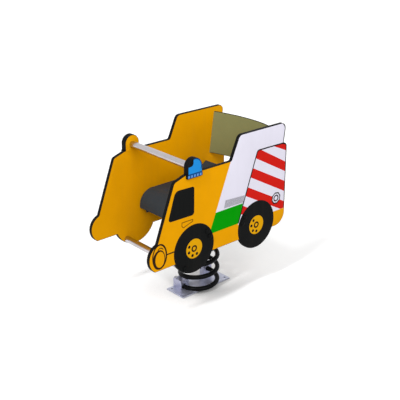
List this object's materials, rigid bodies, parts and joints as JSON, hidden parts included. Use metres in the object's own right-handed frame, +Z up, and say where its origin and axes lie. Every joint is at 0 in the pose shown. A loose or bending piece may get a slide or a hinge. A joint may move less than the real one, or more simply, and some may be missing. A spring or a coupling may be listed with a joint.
{
  "type": "playground spring rider",
  "caption": "Truck-shaped playground spring rider: side panels, bent seat, curved backrest, handlebar and footrest on a coil spring that rocks above an anchored base plate.",
  "frame": {"origin": "on the ground under the spring's axis, at the centre of the anchor holes", "axes": "+X to the rear of the truck, +Y to the rider's right, +Z up"},
  "size_m": [0.8909, 0.498, 0.8643],
  "materials": {
    "galvanised": "hot-dip galvanised",
    "stainless": "brushed stainless",
    "spring_black": "black powder coat",
    "frame_charcoal": "dark powder coat",
    "seat_grey": "dark grey laminate",
    "laminate_yellow": "yellow compact laminate with a black core",
    "beacon_blue": "blue compact laminate with a black core",
    "back_olive": "olive laminate",
    "screw_yellow": "yellow painted",
    "cap_black": "black moulded"
  },
  "bodies": {
    "base": {"base_plate": "galvanised", "lower_front_clamp": "galvanised", "lower_rear_clamp": "galvanised", "lower_clamp_bolts": "stainless"},
    "spring": {"coil_spring": "spring_black"},
    "rider": {"upper_front_clamp": "galvanised", "upper_rear_clamp": "galvanised", "upper_clamp_bolts": "stainless", "head_plate": "frame_charcoal", "front_rail": "frame_charcoal", "rear_rail": "frame_charcoal", "left_bearer": "frame_charcoal", "right_bearer": "frame_charcoal", "seat": "seat_grey", "seat_bolts": "cap_black", "left_panel": "laminate_yellow", "right_panel": "laminate_yellow", "left_panel_bolts": "stainless", "right_panel_bolts": "stainless", "left_bolt_caps": "cap_black", "right_bolt_caps": "cap_black", "left_beacon": "beacon_blue", "right_beacon": "beacon_blue", "left_beacon_screws": "screw_yellow", "right_beacon_screws": "screw_yellow", "handlebar": "stainless", "handlebar_plugs": "galvanised", "footrest": "stainless", "footrest_plugs": "galvanised", "backrest": "back_olive", "left_back_bracket": "frame_charcoal", "right_back_bracket": "frame_charcoal", "left_back_screws": "stainless", "right_back_screws": "stainless"}
  },
  "joints": [
    {"name": "rock_pitch", "type": "hinge", "parent": "base", "child": "spring", "pos_m": [0, 0, 0.20283], "axis": [0, 1, 0], "range_deg": [-20, 20], "stiffness_Nm_per_rad": 900, "deforming": ["coil_spring"]},
    {"name": "rock_roll", "type": "hinge", "parent": "spring", "child": "rider", "pos_m": [0, 0, 0.20283], "axis": [1, 0, 0], "range_deg": [-12, 12], "stiffness_Nm_per_rad": 900, "deforming": ["coil_spring"]}
  ]
}
